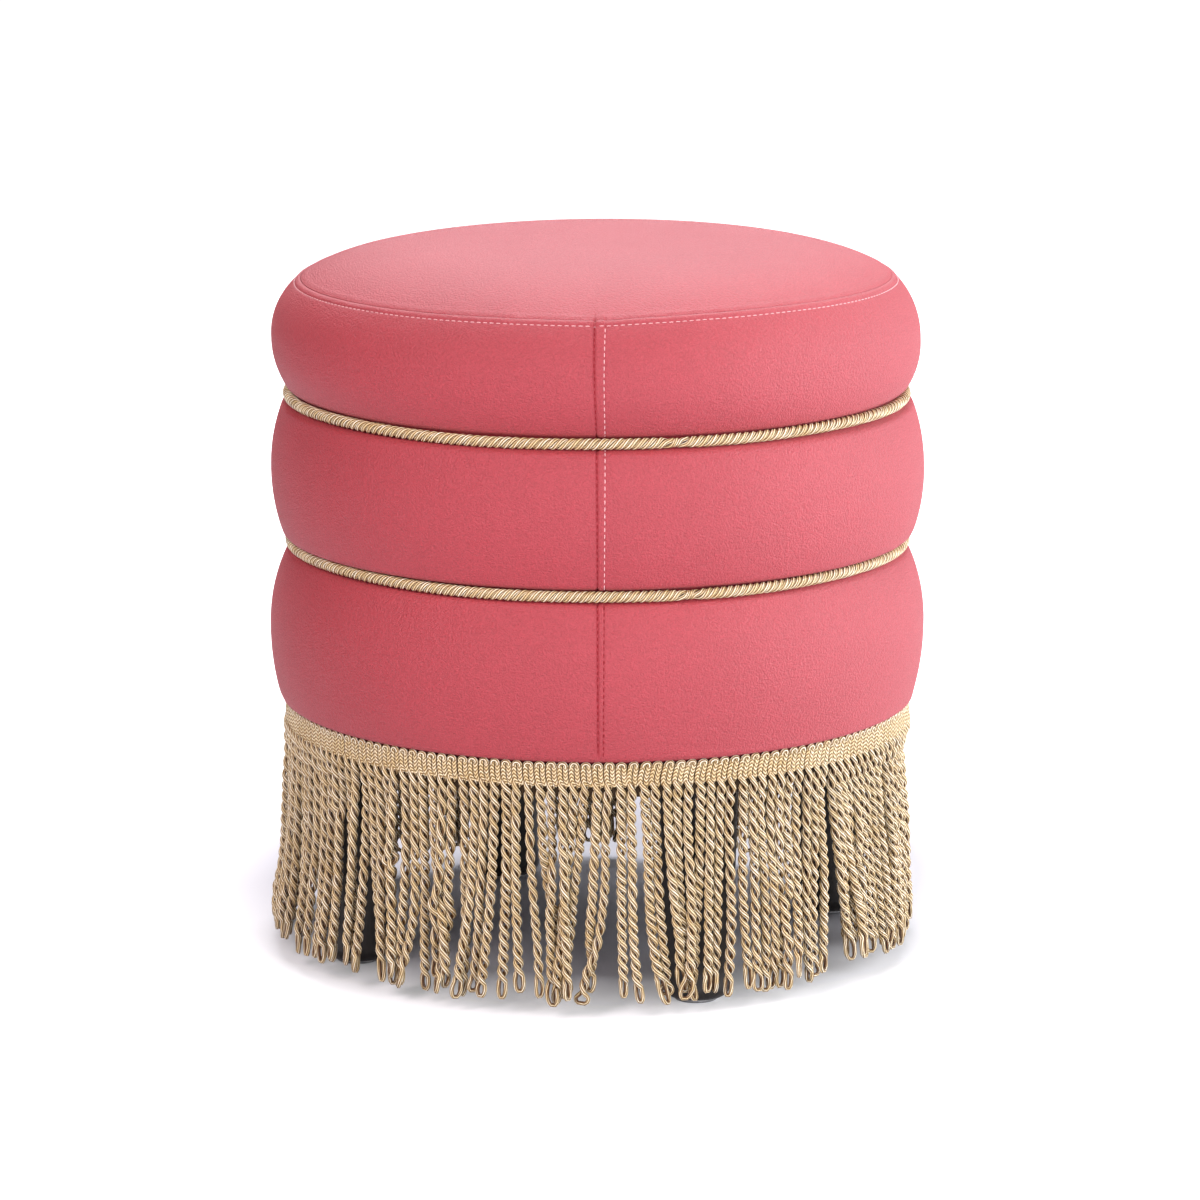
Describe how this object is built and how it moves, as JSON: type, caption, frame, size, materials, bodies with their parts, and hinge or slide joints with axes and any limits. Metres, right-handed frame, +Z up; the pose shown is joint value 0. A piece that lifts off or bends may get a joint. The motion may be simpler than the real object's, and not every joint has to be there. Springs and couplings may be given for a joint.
{
  "type": "tuffet",
  "caption": "Round upholstered tuffet: stacked velvet rolls parted by twisted cords, a crowned seat, a long bullion fringe and turned black legs.",
  "frame": {"origin": "on the floor, under the middle of the seat", "axes": "+Z up; -Y towards the front, where the side cover's upright seam is; +X to the right seen from the front"},
  "size_m": [0.423, 0.423, 0.4583],
  "materials": {
    "velvet": "pile velvet",
    "gold_cord": "twisted viscose, satin",
    "black_lacquer": "black lacquer on turned beech, satin",
    "plywood": "sawn",
    "pine": "planed",
    "fibreboard": "smooth",
    "foam": "open-cell upholstery foam",
    "wadding": "polyester wadding",
    "dust_cloth": "spun-bonded cloth, matt",
    "zinc_steel": "zinc plated",
    "nickel_steel": "nickel plated"
  },
  "bodies": {
    "root": {"base_board": "plywood", "cover_staples": "zinc_steel", "drum_skin": "fibreboard", "dust_cover": "dust_cloth", "dust_cover_staples": "zinc_steel", "frame_screws": "zinc_steel", "fringe_header": "gold_cord", "fringe_strands_1": "gold_cord", "fringe_strands_2": "gold_cord", "fringe_strands_3": "gold_cord", "fringe_strands_4": "gold_cord", "fringe_strands_5": "gold_cord", "fringe_strands_6": "gold_cord", "fringe_strands_7": "gold_cord", "fringe_strands_8": "gold_cord", "glide_1": "nickel_steel", "glide_2": "nickel_steel", "glide_3": "nickel_steel", "glide_4": "nickel_steel", "hanger_bolt_1": "zinc_steel", "hanger_bolt_2": "zinc_steel", "hanger_bolt_3": "zinc_steel", "hanger_bolt_4": "zinc_steel", "leg_1": "black_lacquer", "leg_2": "black_lacquer", "leg_3": "black_lacquer", "leg_4": "black_lacquer", "lower_cord": "gold_cord", "lower_roll_foam": "foam", "lower_roll_wadding": "wadding", "lower_tack_rail": "plywood", "middle_roll_foam": "foam", "middle_roll_wadding": "wadding", "seat_board": "plywood", "seat_foam": "foam", "seat_wadding": "wadding", "side_cover": "velvet", "t_nut_1": "zinc_steel", "t_nut_2": "zinc_steel", "t_nut_3": "zinc_steel", "t_nut_4": "zinc_steel", "top_panel": "velvet", "upper_cord": "gold_cord", "upper_roll_foam": "foam", "upper_roll_wadding": "wadding", "upper_tack_rail": "plywood", "upright_1": "pine", "upright_2": "pine", "upright_3": "pine", "upright_4": "pine", "upright_5": "pine", "upright_6": "pine"}
  },
  "joints": []
}
